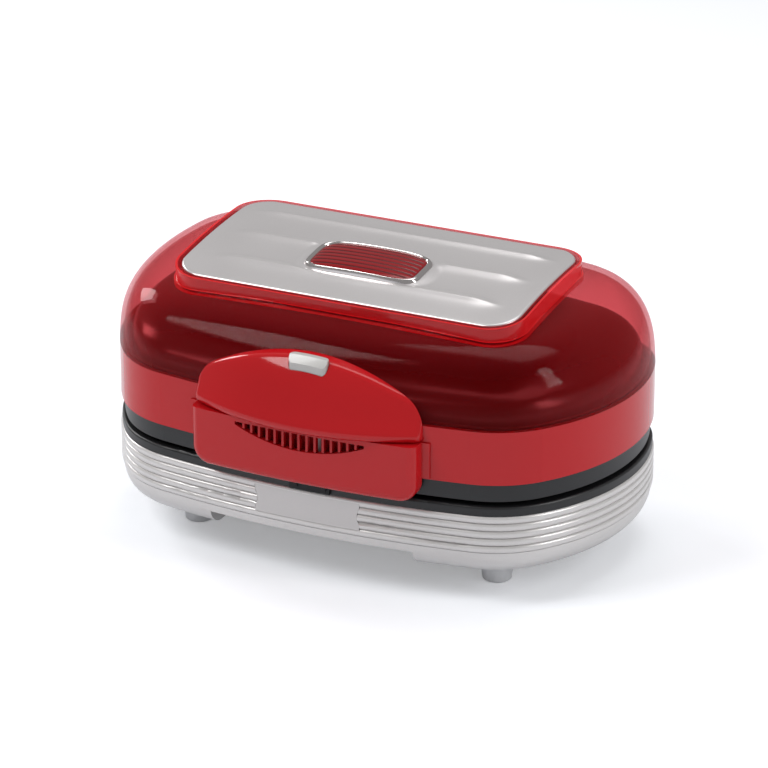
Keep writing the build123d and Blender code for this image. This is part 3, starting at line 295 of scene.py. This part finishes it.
def grid_quads(rows, cols, first=0, flip=False):
    """Corner numbers of the quads of a rows by cols grid of points, counted row by row."""
    i, j = np.meshgrid(np.arange(rows - 1), np.arange(cols - 1), indexing="ij")
    a = (first + i * cols + j).ravel()
    quads = np.stack([a, a + 1, a + cols + 1, a + cols], axis=1)
    return quads[:, ::-1] if flip else quads


def slab(top, bottom):
    """Closed shell between two grids of points over the same parameters.

    It has both faces and the wall round them, which joins the two grids' outer points."""
    rows, cols = top.shape[:2]
    points = np.concatenate([top.reshape(-1, 3), bottom.reshape(-1, 3)])
    edge = np.concatenate([
        np.arange(cols), cols - 1 + cols * np.arange(1, rows), rows * cols - 1 - np.arange(1, cols),
        cols * (rows - 1) - cols * np.arange(1, rows),
    ])[:-1]
    after = np.roll(edge, -1)
    lower = rows * cols
    wall = np.stack([edge, edge + lower, after + lower, after], axis=1)
    return points, np.concatenate([grid_quads(rows, cols), grid_quads(rows, cols, lower, flip=True), wall])


def eased(count, power=0.8):
    """Values from -1 to 1 that crowd towards both ends, as the sine of an even angle does."""
    even = np.linspace(-1, 1, count)
    return power * np.sin(even * math.pi / 2) + (1 - power) * even


def badge_distance(x, y):
    """How far a point lies outside the badge's rounded outline, below zero inside it."""
    off_x, off_y = np.abs(x), np.abs(y - BADGE_MIDDLE)
    half_y = BADGE_HALF_DEPTH - 4.5 * np.minimum(off_x / BADGE_HALF_LENGTH, 1.0) ** 2
    half_x = BADGE_HALF_LENGTH + BADGE_FLARE * (1 - np.minimum(off_y / BADGE_HALF_DEPTH, 1.0) ** 2)
    dx, dy = off_x - half_x, off_y - half_y
    return np.hypot(np.maximum(dx, 0), np.maximum(dy, 0)) + np.minimum(np.maximum(dx, dy), 0)


def fluted_plate():
    """Top plate: the crown plus three long crests with hollow flutes between them.

    A crest's section is a rounded peak that falls off on both sides. It fades out at both ends
    by a cubic ease, and again where a soft pad rises round the badge. The outline is a rectangle
    with round corners: a row's half length is the straight one less the corner circle's share."""
    v = eased(150)[:, None]
    u = eased(190, 0.5)[None, :]
    y = v * PLATE_HALF_Y
    over = np.maximum(np.abs(y) - (PLATE_HALF_Y - PLATE_CORNER), 0)
    row_half = PLATE_HALF_X - PLATE_CORNER + np.sqrt(np.maximum(PLATE_CORNER**2 - over**2, 0))
    x = u * row_half
    y = y + 0 * x
    crests = np.zeros_like(x)
    for crest_y, reach in CRESTS:
        off = y - crest_y
        peak = np.exp(-(np.sqrt(off**2 + 0.8) - 0.9) / CREST_SPREAD)
        ends = smooth((reach - np.abs(x)) / CREST_FADE)
        crests = np.maximum(crests, peak * ends)
    away = badge_distance(x, y)
    pad = smooth(1 - away / PAD_REACH)
    clear_of_badge = smooth((away - 1.0) / 7.0)
    z = crown_height(y) + CREST_HEIGHT * crests * clear_of_badge + PAD_HEIGHT * pad
    rim = np.minimum(row_half - np.abs(x), PLATE_HALF_Y - np.abs(y))
    z = z - PLATE_RIM_DROP * (1 - np.clip(rim / PLATE_RIM, 0, 1)) ** 2
    top = np.stack([x, y, z], axis=-1)
    bottom = np.stack([x, y, crown_height(y) - PLATE_THICK], axis=-1)
    return slab(top, bottom)


def badge_halves(inward):
    """Half length and half depth of the badge's outline, drawn inwards."""
    half_x = BADGE_HALF_LENGTH + BADGE_FLARE - BADGE_END_STEP * inward
    return half_x, BADGE_HALF_DEPTH - BADGE_SIDE_STEP * inward


def badge_bow(x):
    """How far the badge has sunk at a distance along it."""
    return BADGE_BOW * (x / BADGE_BOW_AT) ** 2


def badge_outline(count, inward):
    """Points round the badge, spaced evenly by angle on a superellipse that is drawn inwards."""
    a = np.linspace(0, 2 * math.pi, count, endpoint=False)
    c, s = np.cos(a), np.sin(a)
    half_x, half_y = badge_halves(inward)
    reach = (np.abs(c / half_x) ** BADGE_POWER + np.abs(s / half_y) ** BADGE_POWER) ** (-1 / BADGE_POWER)
    return np.stack([c * reach, BADGE_MIDDLE + s * reach], axis=1)


def badge_collar():
    """Bright collar: a rounded lip section carried round the badge's outline."""
    count, section_points = 240, 37
    section = np.array([
        (-0.4, -1.6), (-0.2, 0.4), (0.1, 2.2), (0.5, 3.6), (1.2, 4.6),
        (2.0, 4.8), (2.8, 4.4), (3.3, 3.6), (3.4, 2.4), (3.4, -1.6),
    ])
    t = np.linspace(0, len(section) - 1, section_points)
    k = np.arange(len(section))
    inward = np.interp(t, k, section[:, 0])
    height = np.interp(t, k, section[:, 1])
    for _ in range(3):
        inward[1:-1] = (inward[:-2] + 2 * inward[1:-1] + inward[2:]) / 4
        height[1:-1] = (height[:-2] + 2 * height[1:-1] + height[2:]) / 4
    rings = np.stack([badge_outline(count, d) for d in inward])
    z = crown_height(rings[..., 1]) + height[:, None] + 0.4 - badge_bow(rings[..., 0])
    points = np.concatenate([rings, z[..., None]], axis=-1).reshape(-1, 3)
    n = len(inward)
    i, j = np.meshgrid(np.arange(n), np.arange(count), indexing="ij")
    a, b = i * count + j, i * count + (j + 1) % count
    c, d = ((i + 1) % n) * count + (j + 1) % count, ((i + 1) % n) * count + j
    return points, np.stack([a.ravel(), b.ravel(), c.ravel(), d.ravel()], axis=1)


def badge_pillow():
    """Badge face: rows across the badge, pillowed at its rim, with seven fine grooves along it."""
    v = np.linspace(-1, 1, 141)[:, None]
    u = eased(120, 0.6)[None, :]
    half_x, half_y = badge_halves(BADGE_RIM)
    x = u * half_x * np.maximum(1 - np.abs(v) ** BADGE_POWER, 0.02) ** (1 / BADGE_POWER)
    y = BADGE_MIDDLE + v * half_y + 0 * x
    rim = np.clip(1 - (np.abs(x) / half_x) ** BADGE_POWER - np.abs(v) ** BADGE_POWER, 0, 1)
    lines = (0.5 + 0.5 * np.cos(2 * math.pi * GROOVES_PER_HALF * v)) ** 6
    groove = lines * smooth((rim - 0.1) / 0.2)
    z = crown_height(y) + 3.1 + 2.4 * rim**0.35 - badge_bow(x) - GROOVE_DEPTH * groove
    top = np.stack([x, y, z], axis=-1)
    bottom = np.stack([x, y, crown_height(y) + 0.6], axis=-1)
    points, quads = slab(top, bottom)
    stripe = np.concatenate([groove.ravel(), np.zeros(groove.size)])
    return points, quads, stripe


def badge_finish():
    """Deep red lacquer with darker lines that follow the grooves."""
    m = Finish("striped_badge", specular_ior_level=0.35)
    line = m.node("ShaderNodeAttribute", {"attribute_name": "stripe"}, out=2)
    wide = m.noise(30.0, 1.0)
    red = m.blend(wide, (0.21, 0.004, 0.006), (0.26, 0.005, 0.008))
    dark = (0.020, 0.001, 0.002, 1.0)
    m.feed("Base Color", m.node("ShaderNodeMix", {"data_type": "RGBA"}, out=2, i0=line, i6=red, i7=dark))
    m.feed("Roughness", 0.12 + line * 0.25)
    return m.mat


make_piece(
    "fluted_top_plate", *fluted_plate(), finishes["satin_metal"], "lid", "top_plate", slot="satin_metal",
)
make_piece(
    "badge_collar", *badge_collar(), finishes["bezel_chrome"], "lid", "top_badge_bezel", slot="bezel_chrome",
)
face_points, face_quads, stripe = badge_pillow()
face = make_piece(
    "badge_pillow", face_points, face_quads, badge_finish(), "lid", "top_badge_face", slot="red_gloss",
)
face.data.attributes.new("stripe", "FLOAT", "POINT").data.foreach_set("value", stripe)

# Stage, light and camera


def plane(name, size, z, mat):
    """Square sheet on the level z, part of the stage."""
    h = size / 2
    mesh = bpy.data.meshes.new(name)
    mesh.from_pydata([(-h, -h, z), (h, -h, z), (h, h, z), (-h, h, z)], [], [(0, 1, 2, 3)])
    mesh.materials.append(mat)
    obj = bpy.data.objects.new(name, mesh)
    bpy.context.scene.collection.objects.link(obj)


def floor_finish():
    """White floor that keeps the object's shadow: a lit surface with a faint glow for the camera only."""
    m = Finish("pale_floor", base_color=(0.84, 0.86, 0.90), roughness=0.9, specular_ior_level=0.0)
    path = m.tree.nodes.new("ShaderNodeLightPath")
    m.feed("Emission Color", (1.0, 1.0, 1.0))
    m.feed("Emission Strength", Sock(m.tree, path.outputs["Is Camera Ray"]) * 0.25)
    return m.mat


FLOOR_SIZE, FLOOR_LEVEL = 12.0, -0.0002
plane("floor", FLOOR_SIZE, FLOOR_LEVEL, floor_finish())


def world_light(level):
    """White surroundings for what the camera sees, also through clear plastic, and a dimmer level
    for everything else."""
    world = bpy.data.worlds.new("studio")
    bpy.context.scene.world = world
    world.use_nodes = True
    tree = world.node_tree
    back = tree.nodes["Background"]
    path = tree.nodes.new("ShaderNodeLightPath")
    seen = Sock(tree, path.outputs["Is Camera Ray"])
    through = Sock(tree, path.outputs["Is Transmission Ray"])
    strength = level + (seen + through).clamp() * (1.0 - level)
    tree.links.new(strength.out, back.inputs["Strength"])
    back.inputs["Color"].default_value = (1, 1, 1, 1)


world_light(0.34)


def softbox(name, place, aim, width, height, power):
    """Rectangular area lamp at place, turned to aim."""
    lamp = bpy.data.lights.new(name, "AREA")
    lamp.shape = "RECTANGLE"
    lamp.size, lamp.size_y, lamp.energy = width, height, power
    obj = bpy.data.objects.new(name, lamp)
    back = Vector(place) - Vector(aim)
    obj.matrix_world = Matrix.Translation(place) @ back.to_track_quat("Z", "Y").to_matrix().to_4x4()
    bpy.context.scene.collection.objects.link(obj)


middle = Vector((0, 0, 0.09))
softbox("key", (-0.9, -0.9, 1.5), middle, 0.7, 0.9, 15)
softbox("side", (1.5, -0.1, 0.9), middle, 0.35, 1.1, 10)
softbox("top", (0.1, 0.5, 1.6), middle, 1.2, 0.8, 8)
softbox("low_left", (-1.5, 0.5, 0.9), middle, 0.5, 0.5, 9)

AZIMUTH, ELEVATION, DISTANCE = math.radians(25.5), math.radians(22.9), 2.6
FOCAL_PIXELS, FRAME_PIXELS, SENSOR_WIDTH = 4178.0, 768.0, 36.0
level_share = math.cos(ELEVATION)
toward = Vector((math.sin(AZIMUTH) * level_share, -math.cos(AZIMUTH) * level_share, math.sin(ELEVATION)))
right = Vector((math.cos(AZIMUTH), math.sin(AZIMUTH), 0))
up = toward.cross(right)
target = Vector((0, 0.011, 0.070)) + right * -0.0012 + up * 0.0157
camera_data = bpy.data.cameras.new("camera")
camera_data.sensor_width = SENSOR_WIDTH
camera_data.lens = FOCAL_PIXELS / FRAME_PIXELS * SENSOR_WIDTH
camera = bpy.data.objects.new("camera", camera_data)
turned = Matrix((right, up, toward)).transposed().to_4x4()
camera.matrix_world = Matrix.Translation(target + toward * DISTANCE) @ turned
bpy.context.scene.collection.objects.link(camera)
bpy.context.scene.camera = camera
bpy.context.scene.view_settings.view_transform = "Standard"
